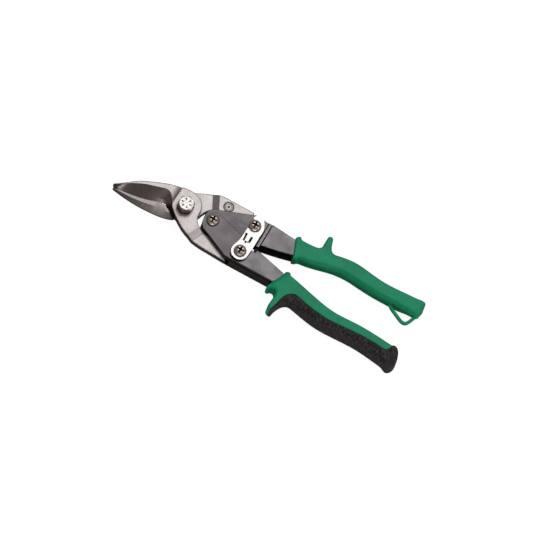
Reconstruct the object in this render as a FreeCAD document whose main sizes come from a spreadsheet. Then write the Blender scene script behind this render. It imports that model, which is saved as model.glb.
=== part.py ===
import FreeCAD, Part
import math
import os
import Sketcher
from FreeCAD import Placement, Rotation, Vector

# Compound-action aviation snips, lying flat with the pivot bolt's head up.
# The origin is on the main pivot's axis, at the end of the pivot bolt.
# +X runs from the pivot to the handles, +Y to the upper handle, +Z to the head side.
# Heights named "from the shear plane" count from the plane where the blades slide.

os.makedirs("parts", exist_ok=True)
doc = FreeCAD.newDocument("AviationSnips")

DIMENSIONS = (
    ("shear_plane", 9.7, "height of the plane where the blades slide"),
    ("blade_gap", 0.03, "half of the running gap between the forgings"),
    ("boss_thick", 5.5, "each forging at the main pivot"),
    ("blade_thick", 4.7, "each jaw behind its ridge"),
    ("crease_height", 2.5, "height of the crease between a jaw's two facets"),
    ("arm_half", 2.5, "half of an arm's thickness"),
    ("ramp_angle", 25.3, "direction of the arms where they leave the boss"),
    ("ramp_start", 21.5, "start of the offset between boss and arm"),
    ("ramp_end", 26.5, "end of the offset between boss and arm"),
    ("ramp_lead", 2.5, "how much earlier the rear face of the upper arm is offset"),
    ("groove_deep", 1.6, "relief groove at the heel of the lower jaw"),
    ("land_drop", 0.75, "fall of the lower jaw's face from its land to its outer edge"),
    ("sheet", 1.8, "steel sheet of the handles"),
    ("inner_flange", 2.65, "shear plane to the inside of the upper handle's flange"),
    ("outer_flange", 4.6, "shear plane to the inside of the lower handle's flange"),
    ("bend_radius", 2.4, "outside bend of the lower handle's sheet"),
    ("joggle_start", 61.5, "x where the upper handle starts to widen"),
    ("joggle_end", 65.0, "x where the upper handle is at its full width"),
    ("joggle_step", 1.0, "height of the first of the joggle's two steps"),
    ("joggle_rise", 0.6, "length of each of those steps' slopes"),
    ("handle_pivot_x", 23.6, "pivot between the two handles"),
    ("handle_pivot_y", 0.8, "pivot between the two handles"),
    ("upper_link_x", 53.7, "pivot between upper handle and upper arm"),
    ("upper_link_y", 12.9, "pivot between upper handle and upper arm"),
    ("lower_link_x", 53.7, "pivot between lower handle and lower arm"),
    ("lower_link_y", -11.3, "pivot between lower handle and lower arm"),
    ("bolt_radius", 4.0, "shank of the main pivot bolt"),
    ("bolt_flats", 11.6, "pivot bolt head across its flats"),
    ("bolt_collar", 0.5, "washer face under the pivot bolt head"),
    ("bolt_head_top", 12.0, "shear plane to the top of the pivot bolt"),
    ("bolt_face_radius", 5.5, "flat face left on top of the pivot bolt"),
    ("corner_bevel", 0.3, "face left outside the flats where hexagon corners are turned off"),
    ("collar_inset", 0.1, "washer face inside the bolt head's flats"),
    ("mark_deep", 0.35, "radial marks on the pivot bolt head"),
    ("washer_radius", 7.0, "washer under the pivot nut"),
    ("washer_thick", 0.7, "washer under the pivot nut"),
    ("nut_flats", 11.6, "pivot nut across its flats"),
    ("nut_thick", 3.2, "pivot nut"),
    ("screw_radius", 2.45, "shank of the handle screws"),
    ("bush_radius", 3.5, "bushes that the handles and arms turn on"),
    ("seat_clearance", 0.03, "radial clearance of parts that do not turn"),
    ("running_clearance", 0.05, "radial clearance of parts that turn"),
    ("link_clearance", 0.25, "radial play where the closed linkage is opened"),
    ("head_radius", 4.7, "domed screw heads"),
    ("head_rim", 1.2, "straight rim of the domed heads"),
    ("head_tall", 3.0, "height of the domed heads"),
    ("head_flat", 1.2, "radius of the flat on top of the domed heads"),
    ("head_mid_radius", 3.75, "radius of a point halfway down the dome"),
    ("head_mid_height", 1.15, "height of that point above the straight rim"),
    ("recess_long", 3.3, "half length of the cross recess at its mouth"),
    ("recess_wide", 0.85, "half width of the cross recess at its mouth"),
    ("recess_foot_long", 1.6, "half length of the cross recess at its foot"),
    ("recess_foot_wide", 0.3, "half width of the cross recess at its foot"),
    ("recess_deep", 2.2, "depth of the cross recess"),
    ("recess_lead", 0.3, "how far over the head the mouth of the recess is drawn"),
    ("small_nut_flats", 8.0, "nuts of the handle screws across their flats"),
    ("small_nut_thick", 3.2, "nuts of the handle screws"),
    ("spacer_radius", 6.2, "spacers beside the lower arm"),
    ("spacer_thick", 2.0, "spacers beside the lower arm"),
    ("latch_low", 6.9, "shear plane to the underside of the latch"),
    ("latch_thick", 1.8, "latch plate"),
    ("latch_shoulder", 3.2, "shoulder that the latch turns on"),
    ("latch_bump", 0.9, "raised thumb bump of the latch"),
    ("dimple_radius", 0.7, "punch mark below that bump"),
    ("keyhole_radius", 1.0, "wider opening at the top of the slit beside the bump"),
    ("head_low", 8.85, "shear plane to the underside of the heads over the latch"),
    ("collar_radius", 4.0, "collar of the upper link screw below the latch"),
    ("wave_radius", 6.0, "washer between lower handle and latch"),
    ("side_gap", 0.05, "beside the spacers and the latch's washer"),
    ("collar_gap", 0.15, "collar of the upper link screw to the latch"),
    ("wave_thick", 0.4, "washer between lower handle and latch"),
    ("stop_pin_radius", 3.9, "pin pressed into the upper arm"),
    ("stop_pin_chamfer", 0.55, "broken edge of that pin"),
    ("stop_pin_x", 28.5, "pin pressed into the upper arm"),
    ("stop_pin_y", 18.9, "pin pressed into the upper arm"),
    ("wire_radius", 0.8, "wire of the opening spring"),
    ("coil_radius", 5.3, "middle of the spring's wire from its axis"),
    ("coil_pitch", 1.68, "rise of each turn of the spring"),
    ("grip_half", 8.7, "half of the grips' thickness"),
    ("strap_half", 1.3, "half of the hanging strap's thickness"),
    ("cut_reach", 150.0, "length of cuts that go right through"),
)

sheet = doc.addObject("Spreadsheet::Sheet", "dims")
for row, (alias, value, meaning) in enumerate(DIMENSIONS, start=1):
    sheet.set(f"A{row}", meaning)
    sheet.set(f"B{row}", str(value))
    sheet.setAlias(f"B{row}", alias)
doc.recompute()

MAIN_PIVOT = (0.0, 0.0)
OVERLAP = 0.01  # how far a cutting profile stands clear of the piece it cuts
nodes = []


def size(alias):
    """A driving dimension, read back from the sheet."""
    return float(sheet.get(alias))


HANDLE_PIVOT = (size("handle_pivot_x"), size("handle_pivot_y"))
UPPER_LINK = (size("upper_link_x"), size("upper_link_y"))
LOWER_LINK = (size("lower_link_x"), size("lower_link_y"))


def new_body(name):
    body = doc.addObject("PartDesign::Body", name)
    body.Label = name
    nodes.append(body)
    return body


def place(body, pivot):
    """Put a body's own origin on a pivot of the sheet, at the shear plane."""
    if pivot:
        body.setExpression("Placement.Base.x", f"dims.{pivot}_x")
        body.setExpression("Placement.Base.y", f"dims.{pivot}_y")
    body.setExpression("Placement.Base.z", "dims.shear_plane")


def new_sketch(body, name, role="XY_Plane", height=None, turn=0.0):
    """A sketch on one of the body's own planes, raised by height or turned about +Z."""
    sketch = body.newObject("Sketcher::SketchObject", f"{body.Label}_{name}")
    plane = next(feature for feature in body.Origin.OriginFeatures if feature.Role == role)
    sketch.AttachmentSupport = [(plane, "")]
    sketch.MapMode = "FlatFace"
    if turn:
        sketch.AttachmentOffset = Placement(Vector(), Rotation(Vector(0, 1, 0), turn))
    if height:
        sketch.setExpression("AttachmentOffset.Base.z", height)
    return sketch


def point(place_2d):
    return Vector(place_2d[0], place_2d[1], 0)


def draw(sketch, start, *runs):
    """A closed outline. Each run is ("line", points), ("arc", (middle, end)) or ("curve", points)."""
    here = start
    for kind, points in runs:
        if kind == "line":
            for target in points:
                sketch.addGeometry(Part.LineSegment(point(here), point(target)))
                here = target
        elif kind == "arc":
            middle, target = points
            sketch.addGeometry(Part.Arc(point(here), point(middle), point(target)))
            here = target
        else:
            spline = Part.BSplineCurve()
            spline.interpolate([point(here)] + [point(target) for target in points])
            sketch.addGeometry(spline)
            here = points[-1]
    if point(here).distanceToPoint(point(start)) > 1e-6:
        sketch.addGeometry(Part.LineSegment(point(here), point(start)))


def circle(sketch, centre, radius, pivot=None):
    """A circle whose radius, and centre when it is a pivot of the sheet, are bound."""
    index = sketch.addGeometry(Part.Circle(point(centre), Vector(0, 0, 1), 1.0))
    bound = sketch.addConstraint(Sketcher.Constraint("Radius", index, 1.0))
    sketch.setExpression(f"Constraints[{bound}]", radius)
    if pivot:
        for kind, letter, value in (("DistanceX", "x", centre[0]), ("DistanceY", "y", centre[1])):
            bound = sketch.addConstraint(Sketcher.Constraint(kind, -1, 1, index, 3, value))
            sketch.setExpression(f"Constraints[{bound}]", f"dims.{pivot}_{letter}")
    else:
        sketch.addConstraint(Sketcher.Constraint("Block", index))


def pad(body, sketch, length, symmetric=False, down=False):
    feature = body.newObject("PartDesign::Pad", f"{sketch.Name}_pad")
    feature.Profile = sketch
    feature.SideType = "Symmetric" if symmetric else "One side"
    feature.Reversed = down
    feature.setExpression("Length", length)
    doc.recompute()
    return feature


def pocket(body, sketch, length="dims.cut_reach", symmetric=True, up=False):
    """Cut the sketch out of the body, and stop if nothing was cut."""
    before = body.Shape.Volume
    feature = body.newObject("PartDesign::Pocket", f"{sketch.Name}_cut")
    feature.Profile = sketch
    feature.SideType = "Symmetric" if symmetric else "One side"
    feature.Reversed = up
    feature.setExpression("Length", length)
    doc.recompute()
    if not body.Shape.Volume < before - 1e-6:
        raise RuntimeError(f"{feature.Name} cut nothing")
    return feature


def loft(body, name, sections):
    """A ruled loft through outlines of equal edge counts, each given as (height, start, runs)."""
    sketches = []
    for number, (height, start, runs) in enumerate(sections):
        sketch = new_sketch(body, f"{name}_{number}", height=height)
        draw(sketch, start, *runs)
        sketches.append(sketch)
    feature = body.newObject("PartDesign::AdditiveLoft", f"{body.Label}_{name}")
    feature.Profile = sketches[0]
    feature.Sections = sketches[1:]
    feature.Ruled = True
    doc.recompute()
    return feature


def turned(body, name, *profiles):
    """Revolve closed (radius, height) profiles about the body's own Z axis."""
    sketch = new_sketch(body, name, role="XZ_Plane")
    for profile in profiles:
        draw(sketch, profile[0], ("line", profile[1:]))
    feature = body.newObject("PartDesign::Revolution", f"{sketch.Name}_turned")
    feature.Profile = sketch
    feature.ReferenceAxis = (sketch, ["V_Axis"])
    feature.Angle = 360
    doc.recompute()
    return feature


def groove(body, name, *profiles):
    """Turn closed (radius, height) profiles off the body."""
    before = body.Shape.Volume
    sketch = new_sketch(body, name, role="XZ_Plane")
    for profile in profiles:
        draw(sketch, profile[0], ("line", profile[1:]))
    feature = body.newObject("PartDesign::Groove", f"{sketch.Name}_groove")
    feature.Profile = sketch
    feature.ReferenceAxis = (sketch, ["V_Axis"])
    feature.Angle = 360
    doc.recompute()
    if not body.Shape.Volume < before - 1e-6:
        raise RuntimeError(f"{feature.Name} cut nothing")
    return feature


def hexagon(across_flats):
    corner = across_flats / math.sqrt(3)
    angles = [math.radians(30 + 60 * number) for number in range(6)]
    return [(corner * math.cos(angle), corner * math.sin(angle)) for angle in angles]


def round_edges(body, radius, wanted):
    """Fillet the body's edges that a test picks, in the body's own frame."""
    tip = body.Tip
    names = [f"Edge{number}" for number, edge in enumerate(tip.Shape.Edges, start=1) if wanted(edge)]
    feature = body.newObject("PartDesign::Fillet", f"{body.Label}_rounded")
    feature.Base = (tip, names)
    feature.setExpression("Radius", radius)
    doc.recompute()
    return feature


# ---------------------------------------------------------------- forgings

def front_jaw():
    """Upper jaw, front boss and lower arm in one forging."""
    body = new_body("front_jaw")
    place(body, None)
    plan = new_sketch(body, "plan", height="-dims.arm_half")
    draw(
        plan, (-9.2, 12.9),
        ("curve", [(0, 13.8), (7, 11.6), (11.6, 5.2), (12.5, -2.8), (15.8, -7.9), (20, -10.2)]),
        ("line", [(26, -10.7), (52.5, -4.8)]),
        ("arc", ((60.3, -11.3), (53.7, -17.9))),
        ("line", [(47.2, -17.9), (47.2, -22.6), (30, -22.1)]),
        ("curve", [(20, -21.4), (10, -18.8), (0, -12.8), (-10, -3.3), (-11.6, -0.2)]),
        ("line", [(-10.4, 1.0)]),
    )
    pad(body, plan, "dims.boss_thick + dims.arm_half")

    start, end = size("ramp_start") - 1.5, size("ramp_end") - 1.5
    gap, boss, arm = size("blade_gap"), size("boss_thick"), size("arm_half")
    far = size("cut_reach")
    under = new_sketch(body, "under", role="XZ_Plane", turn=-size("ramp_angle"))
    draw(under, (-far, gap), ("line", [(start, gap), (end, -arm), (end, -far), (-far, -far)]))
    pocket(body, under)
    over = new_sketch(body, "over", role="XZ_Plane", turn=-size("ramp_angle"))
    draw(over, (start, boss), ("line", [(end, arm), (far, arm), (far, far), (start, far)]))
    pocket(body, over)

    tip = (-56.1, -12.4)
    heel = (-7.0, 8.0)
    back = ("curve", [(-50, -7.8), (-40, 0.3), (-30, 5.6), (-20, 10.0), (-9, 12.7)])
    edge = [(-8.5, -6.8), (-12, -4.6), (-15, -4.4), (-25, -7.3), (-35, -10.2), (-45, -12), (-55.2, -13.2)]
    crease = [(-9, -5.2), (-12, -3.2), (-15, -2.5), (-25, -4.2), (-35, -6.2), (-45, -8.6), (-55.4, -13)]
    ridge = [(-9.5, -3.9), (-12.5, 1.6), (-16.5, 5.3), (-25, 3.9), (-35, 0.3), (-45, -5.1), (-55.6, -12.8)]
    heels = ((-4.2, -9.6), (-4.6, -9.0), (-5.0, -8.3))
    heights = ("dims.blade_gap", "dims.crease_height", "dims.blade_thick")
    loft(body, "blade", [
        (height, inner_heel, (("curve", inner), ("line", [tip]), back, ("line", [heel])))
        for height, inner_heel, inner in zip(heights, heels, (edge, crease, ridge))
    ])

    holes = new_sketch(body, "holes")
    circle(holes, MAIN_PIVOT, "dims.bolt_radius + dims.seat_clearance")
    circle(holes, LOWER_LINK, "dims.bush_radius + dims.running_clearance", pivot="lower_link")
    pocket(body, holes)
    return body


def rear_jaw():
    """Lower jaw, rear boss and upper arm in one forging."""
    body = new_body("rear_jaw")
    place(body, None)
    plan = new_sketch(body, "plan", height="-dims.boss_thick")
    draw(
        plan, (-9.5, -6.5),
        ("curve", [(0, -9.7), (9, -7), (12.6, 0), (15.2, 7), (20, 11.2)]),
        ("line", [(26, 12.2), (52.5, 6.4)]),
        ("arc", ((60.3, 12.9), (53.7, 19.5))),
        ("line", [(47.75, 19.5), (47.75, 25), (21.8, 24.6)]),
        ("curve", [(11.6, 21.8), (2.6, 17.2), (-6, 10.8), (-11.5, 2)]),
        ("line", [(-12, -4)]),
    )
    pad(body, plan, "dims.boss_thick + dims.arm_half")

    start, end = size("ramp_start"), size("ramp_end")
    gap, boss, arm = size("blade_gap"), size("boss_thick"), size("arm_half")
    far = size("cut_reach")
    over = new_sketch(body, "over", role="XZ_Plane", turn=size("ramp_angle"))
    draw(over, (-far, -gap), ("line", [(start, -gap), (end, arm), (end, far), (-far, far)]))
    pocket(body, over)
    under = new_sketch(body, "under", role="XZ_Plane", turn=size("ramp_angle"))
    early = size("ramp_lead")
    draw(under, (start - early, -boss), ("line", [
        (end - early, -arm), (far, -arm), (far, -far), (start - early, -far),
    ]))
    pocket(body, under)

    tip = (-55.2, -14.0)
    land_tip = (-55.1, -13.4)
    heel = (-3.0, -9.0)
    land_heel = (-3.0, -8.5)
    edge = [(-16, -3.6), (-25, -6.3), (-35, -9.2), (-45, -11.2), (-55, -12.7)]
    worn = [(-16, -4.2), (-25, -6.9), (-35, -9.7), (-45, -11.6), (-54.9, -12.9)]
    crease = [(-16, -5.6), (-25, -8.2), (-35, -10.8), (-45, -12.6), (-54.6, -13.2)]
    ridge = [(-16, -8.4), (-25, -10.6), (-35, -12.2), (-45, -13.3), (-53.6, -13.4)]
    land = ("curve", [(-50, -13.6), (-40, -13.2), (-30, -11.9), (-20, -9.9), (-10, -8.9), (-3, -9.6)])
    foot = ("curve", [(-50, -15.1), (-40, -16.15), (-30, -16.4), (-20, -15.8), (-10, -14.3), (-3, -11.6)])
    back_tip = (-53.8, -13.7)
    back_foot = ("curve", [(-50, -14.0), (-40, -14.5), (-30, -14.6), (-20, -14.0), (-10, -12.4), (-3, -9.9)])
    sections = (
        ("-dims.blade_gap", 1, edge, land_tip, land, land_heel),
        ("-dims.land_drop", 0.7, worn, tip, foot, heel),
        ("-dims.crease_height", 0, crease, tip, foot, heel),
        ("-dims.blade_thick", -1, ridge, back_tip, back_foot, heel),
    )
    loft(body, "blade", [
        (height, (-9, start), (("curve", inner), ("line", [end]), outer, ("line", [last])))
        for height, start, inner, end, outer, last in sections
    ])

    relief = new_sketch(body, "relief")
    draw(
        relief, (-16.5, -5.3),
        ("curve", [(-14.2, -4.9), (-10.4, -7.4), (-7.4, -9.6), (-3.2, -12.6)]),
        ("line", [(-1.5, -10.6)]),
        ("curve", [(-8.8, -4.8), (-13, -2.4), (-17.5, -3.4)]),
    )
    pocket(body, relief, "dims.groove_deep", symmetric=False)

    holes = new_sketch(body, "holes")
    circle(holes, MAIN_PIVOT, "dims.bolt_radius + dims.running_clearance")
    circle(holes, UPPER_LINK, "dims.bush_radius + dims.link_clearance", pivot="upper_link")
    circle(holes, (size("stop_pin_x"), size("stop_pin_y")), "dims.stop_pin_radius", pivot="stop_pin")
    pocket(body, holes)
    return body


def stop_pin():
    """Pin pressed flush into the upper arm, coined with a ring and a centre dimple."""
    body = new_body("stop_pin")
    place(body, "stop_pin")
    half = size("arm_half")
    radius = size("stop_pin_radius")
    broken = size("stop_pin_chamfer")
    turned(body, "pin", [
        (0, -half), (radius, -half), (radius, half - broken), (radius - broken, half), (0, half),
    ])
    dimple = [(0, half + 0.1), (0.9, half + 0.1), (0.5, half - 0.6), (0, half - 0.6)]
    ring = [(2.3, half + 0.1), (2.7, half + 0.1), (2.7, half - 0.35), (2.3, half - 0.35)]
    groove(body, "coining", dimple, ring)
    return body


# ---------------------------------------------------------------- main pivot

def hex_corners_off(body, name, flats, inner, low, high):
    """Turn the corners off a hexagonal piece at the ends given, down to a flat face of the inner radius."""
    corner = flats / math.sqrt(3)
    outside = corner + OVERLAP
    rise = (outside - inner) * math.tan(math.radians(30))
    profiles = []
    if high is not None:
        profiles.append([(inner, high + OVERLAP), (outside, high + OVERLAP), (outside, high - rise)])
    if low is not None:
        profiles.append([(inner, low - OVERLAP), (outside, low - OVERLAP), (outside, low + rise)])
    groove(body, name, *profiles)


def pivot_bolt():
    body = new_body("pivot_bolt")
    place(body, None)
    head = new_sketch(body, "head", height="dims.boss_thick + dims.bolt_collar")
    draw(head, hexagon(size("bolt_flats"))[0], ("line", hexagon(size("bolt_flats"))[1:]))
    pad(body, head, "dims.bolt_head_top - dims.boss_thick - dims.bolt_collar")
    top = size("bolt_head_top")
    hex_corners_off(body, "corners", size("bolt_flats"), size("bolt_face_radius"), None, top)
    low = -size("shear_plane")
    boss = size("boss_thick")
    collar = boss + size("bolt_collar")
    shank = size("bolt_radius")
    face = size("bolt_flats") / 2 - size("collar_inset")
    turned(body, "shank", [(0, low), (shank, low), (shank, boss), (face, boss), (face, collar), (0, collar)])

    mark = new_sketch(body, "mark", height="dims.bolt_head_top")
    draw(
        mark, (2.2, -0.4),
        ("line", [(3.9, -0.7)]),
        ("arc", ((4.35, 0), (3.9, 0.7))),
        ("line", [(2.2, 0.4)]),
    )
    cut = pocket(body, mark, "dims.mark_deep", symmetric=False)
    marks = body.newObject("PartDesign::PolarPattern", "bolt_marks")
    marks.Originals = [cut]
    marks.Axis = (mark, ["N_Axis"])
    marks.Angle = 360
    marks.Occurrences = 6
    body.Tip = marks
    return body


def ring(name, pivot, low, high, outer, inner):
    """A plain washer, bush or spacer about a pivot, between two heights from the shear plane."""
    body = new_body(name)
    place(body, pivot)
    turned(body, "section", [(inner, low), (outer, low), (outer, high), (inner, high)])
    return body


def hex_nut(name, pivot, top, thick, flats, bore):
    """A nut whose seat is at top, from the shear plane, with its corners turned off below."""
    body = new_body(name)
    place(body, pivot)
    outline = new_sketch(body, "outline", height=top)
    draw(outline, hexagon(size(flats))[0], ("line", hexagon(size(flats))[1:]))
    pad(body, outline, f"dims.{thick}", down=True)
    top_height = body.Shape.BoundBox.ZMax - size("shear_plane")
    low = top_height - size(thick)
    hex_corners_off(body, "corners", size(flats), size(flats) / 2 + size("corner_bevel"), low, None)
    hole = new_sketch(body, "hole")
    circle(hole, (0, 0), bore)
    pocket(body, hole)
    return body


# ---------------------------------------------------------------- handle screws

def cross_outline(far, near):
    """Corners of a cross whose arms reach far and are near wide on each side."""
    return [
        (far, -near), (far, near), (near, near), (near, far), (-near, far), (-near, near),
        (-far, near), (-far, -near), (-near, -near), (-near, -far), (near, -far), (near, -near),
    ]


def dome_screw(name, pivot, head_low, low, steps=()):
    """A domed cross-recess screw; steps are (radius, bottom, top) of shoulders under the head."""
    body = new_body(name)
    place(body, pivot)
    shank = size("screw_radius")
    rim, tall = head_low + size("head_rim"), head_low + size("head_tall")
    profile = [(0, low), (shank, low)]
    for radius, bottom, top in steps:
        profile += [(shank, bottom), (radius, bottom), (radius, top), (shank, top)]
    if steps and abs(steps[-1][2] - head_low) < 1e-6:
        profile.pop()
    else:
        profile.append((shank, head_low))
    profile += [(size("head_radius"), head_low), (size("head_radius"), rim)]
    sketch = new_sketch(body, "section", role="XZ_Plane")
    middle = (size("head_mid_radius"), rim + size("head_mid_height"))
    draw(
        sketch, profile[0],
        ("line", profile[1:]),
        ("arc", (middle, (size("head_flat"), tall))),
        ("line", [(0, tall)]),
    )
    feature = body.newObject("PartDesign::Revolution", f"{sketch.Name}_turned")
    feature.Profile = sketch
    feature.ReferenceAxis = (sketch, ["V_Axis"])
    feature.Angle = 360
    doc.recompute()

    mouth = cross_outline(size("recess_long"), size("recess_wide"))
    foot = cross_outline(size("recess_foot_long"), size("recess_foot_wide"))
    recess = []
    levels = ((tall + size("recess_lead"), mouth), (tall - size("recess_deep"), foot))
    for number, (height, outline) in enumerate(levels):
        sketch = new_sketch(body, f"recess_{number}", height=str(height))
        draw(sketch, outline[0], ("line", outline[1:]))
        recess.append(sketch)
    before = body.Shape.Volume
    cut = body.newObject("PartDesign::SubtractiveLoft", f"{name}_recess")
    cut.Profile = recess[0]
    cut.Sections = recess[1:]
    cut.Ruled = True
    doc.recompute()
    if not body.Shape.Volume < before - 1e-6:
        raise RuntimeError(f"{cut.Name} cut nothing")
    return body


def handle_screws():
    """Screws, bushes and nuts of the handle pivot and the two links."""
    bore = size("screw_radius") + size("seat_clearance")
    bush = size("bush_radius")
    inner, outer, sheet_thick = size("inner_flange"), size("outer_flange"), size("sheet")
    nut = size("small_nut_thick")

    dome_screw("handle_pivot_screw", "handle_pivot", outer + sheet_thick, -(outer + sheet_thick + nut))
    ring("handle_pivot_bush", "handle_pivot", -outer, outer, bush, bore)
    hex_nut("handle_pivot_nut", "handle_pivot", "-dims.outer_flange - dims.sheet", "small_nut_thick",
            "small_nut_flats", "dims.screw_radius + dims.seat_clearance")

    collar_top = size("latch_low") - size("collar_gap")
    steps = [(size("collar_radius"), inner + sheet_thick, collar_top)]
    dome_screw("upper_link_screw", "upper_link", size("head_low"), -(inner + sheet_thick + nut), steps)
    ring("upper_link_bush", "upper_link", -inner, inner, bush, bore)
    hex_nut("upper_link_nut", "upper_link", "-dims.inner_flange - dims.sheet", "small_nut_thick",
            "small_nut_flats", "dims.screw_radius + dims.seat_clearance")

    steps = [(size("latch_shoulder"), outer + sheet_thick, size("head_low"))]
    dome_screw("lower_link_screw", "lower_link", size("head_low"), -(outer + sheet_thick + nut), steps)
    ring("lower_link_bush", "lower_link", -outer, outer, bush, bore)
    hex_nut("lower_link_nut", "lower_link", "-dims.outer_flange - dims.sheet", "small_nut_thick",
            "small_nut_flats", "dims.screw_radius + dims.seat_clearance")

    spacers = new_body("lower_link_spacers")
    place(spacers, "lower_link")
    low = size("arm_half") + size("side_gap")
    high = low + size("spacer_thick")
    outside, inside = size("spacer_radius"), bush + size("seat_clearance")
    spacers.AllowCompound = True
    section = [(inside, low), (outside, low), (outside, high), (inside, high)]
    turned(spacers, "sections", section, [(radius, -height) for radius, height in section])

    low = outer + sheet_thick + size("side_gap")
    ring("latch_washer", "lower_link", low, low + size("wave_thick"),
         size("wave_radius"), size("latch_shoulder") + size("seat_clearance"))


# ---------------------------------------------------------------- stamped handles

# Outer face of each handle's web, from its front end to the end of the tang in the grip.
UPPER_WEB = ((50, 23.4), (90, 20.5), (128, 25.6), (180, 25.2))
LOWER_WEB = ((50, -21.6), (88, -20.8), (100, -22.1), (128, -27), (180, -27))
# Free edge of each handle's flanges, from the grip's front to the end of the tang.
UPPER_FREE_EDGE = ((90, 8.5), (97, 13), (128, 19.5), (180, 18.8))
LOWER_FREE_EDGE = ((90, -8.4), (96, -11), (128, -18.5), (180, -19))


def shifted(points, distance):
    return [(x, y + distance) for x, y in points]


def lower_handle():
    """Channel outside the upper handle's, notched where that one widens."""
    body = new_body("lower_handle")
    place(body, None)
    plan = new_sketch(body, "plan")
    draw(
        plan, LOWER_WEB[0],
        ("line", LOWER_WEB[1:]),
        ("line", tuple(reversed(LOWER_FREE_EDGE))),
        ("line", [(65, -2.6), (64.5, -5.2), (60.8, -5.2), (60.8, -1.4), (25.5, 8.4)]),
        ("arc", ((17.0, 0.4), (20.4, -8.9))),
        ("line", [(24.6, -10.4), (48, -21.3)]),
    )
    pad(body, plan, "2 * (dims.outer_flange + dims.sheet)", symmetric=True)

    height = size("outer_flange") + size("sheet")

    def bend(edge):
        box = edge.BoundBox
        flat = box.ZLength < 0.01 and abs(abs(box.ZMin) - height) < 0.01
        return flat and box.YMax < -19 and box.XMin > 49.5 and box.XLength > 5

    round_edges(body, "dims.bend_radius", bend)

    inside = shifted(LOWER_WEB, size("sheet"))
    far = size("cut_reach") * 2
    channel = new_sketch(body, "channel")
    draw(channel, (0, inside[0][1]), ("line", inside + [(far, inside[-1][1]), (far, far), (0, far)]))
    pocket(body, channel, "2 * dims.outer_flange")
    nose = new_sketch(body, "nose")
    draw(nose, (0, inside[0][1]), ("line", [(50, inside[0][1]), (50, -40), (0, -40)]))
    pocket(body, nose, "2 * dims.outer_flange")

    holes = new_sketch(body, "holes")
    circle(holes, HANDLE_PIVOT, "dims.screw_radius + dims.seat_clearance", pivot="handle_pivot")
    circle(holes, LOWER_LINK, "dims.screw_radius + dims.seat_clearance", pivot="lower_link")
    pocket(body, holes)
    return body


def upper_handle():
    """Channel that is narrow at the pivots and widens in two steps behind the latch."""
    body = new_body("upper_handle")
    place(body, None)
    plan = new_sketch(body, "plan")
    draw(
        plan, UPPER_WEB[0],
        ("line", UPPER_WEB[1:]),
        ("line", tuple(reversed(UPPER_FREE_EDGE))),
        ("line", [(80, 5.7), (65.2, 2.3), (64.8, 0.4), (61.9, -0.1), (61.3, 1.3), (26, -7.7)]),
        ("arc", ((16.2, 1.4), (18.6, 9.3))),
        ("curve", [(20.6, 10.9), (23.8, 12.1)]),
        ("line", [(48, 22.3)]),
    )
    pad(body, plan, "2 * (dims.outer_flange + dims.sheet)", symmetric=True)

    first, last = size("joggle_start"), size("joggle_end")
    inner, outer, thick = size("inner_flange"), size("outer_flange"), size("sheet")
    far = size("cut_reach")
    rise, tread = size("joggle_rise"), inner + thick + size("joggle_step")
    for side in (1, -1):
        skin = new_sketch(body, f"joggle_{side + 1}", role="XZ_Plane")
        draw(skin, (-far, side * (inner + thick)), ("line", [
            (first, side * (inner + thick)), (first + rise, side * tread),
            (last - rise, side * tread), (last, side * (outer + thick)),
            (last, side * far), (-far, side * far),
        ]))
        pocket(body, skin)

    inside = shifted(UPPER_WEB, -thick)
    slope = math.degrees(math.atan2(inside[1][1] - inside[0][1], inside[1][0] - inside[0][0]))
    front = new_sketch(body, "front_channel", role="XZ_Plane", turn=slope)
    lift = inside[0][1] * math.cos(math.radians(slope)) - inside[0][0] * math.sin(math.radians(slope))
    front.AttachmentOffset = Placement(
        Rotation(Vector(0, 1, 0), slope).multVec(Vector(0, 0, -lift)), Rotation(Vector(0, 1, 0), slope))
    back = last + 0.5
    draw(front, (0, inner), ("line", [
        (first, inner), (last, outer), (back, outer), (back, -outer),
        (last, -outer), (first, -inner), (0, -inner),
    ]))
    pocket(body, front, symmetric=False, up=True)
    channel = new_sketch(body, "channel")
    joint = (last - 1.0, inside[0][1] + (last - 1.0 - inside[0][0]) * math.tan(math.radians(slope)))
    draw(channel, joint, ("line", inside[1:] + [(2 * far, inside[-1][1]), (2 * far, -far), (joint[0], -far)]))
    pocket(body, channel, "2 * dims.outer_flange")
    nose = new_sketch(body, "nose")
    draw(nose, (0, inside[0][1] - 0.2), ("line", [(50, inside[0][1] - 0.2), (50, 60), (0, 60)]))
    pocket(body, nose, "2 * dims.inner_flange")

    holes = new_sketch(body, "holes")
    circle(holes, HANDLE_PIVOT, "dims.bush_radius + dims.running_clearance", pivot="handle_pivot")
    circle(holes, UPPER_LINK, "dims.screw_radius + dims.seat_clearance", pivot="upper_link")
    pocket(body, holes)
    return body


# ---------------------------------------------------------------- latch and spring

def slit(sketch, low, high, radius):
    """A straight slit with round ends, between the centres of its ends."""
    along_x, along_y = high[0] - low[0], high[1] - low[1]
    length = math.hypot(along_x, along_y)
    ahead = (along_x / length * radius, along_y / length * radius)
    aside = (-ahead[1], ahead[0])
    draw(
        sketch, (low[0] + aside[0], low[1] + aside[1]),
        ("arc", ((low[0] - ahead[0], low[1] - ahead[1]), (low[0] - aside[0], low[1] - aside[1]))),
        ("line", [(high[0] - aside[0], high[1] - aside[1])]),
        ("arc", ((high[0] + ahead[0], high[1] + ahead[1]), (high[0] + aside[0], high[1] + aside[1]))),
    )


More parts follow.
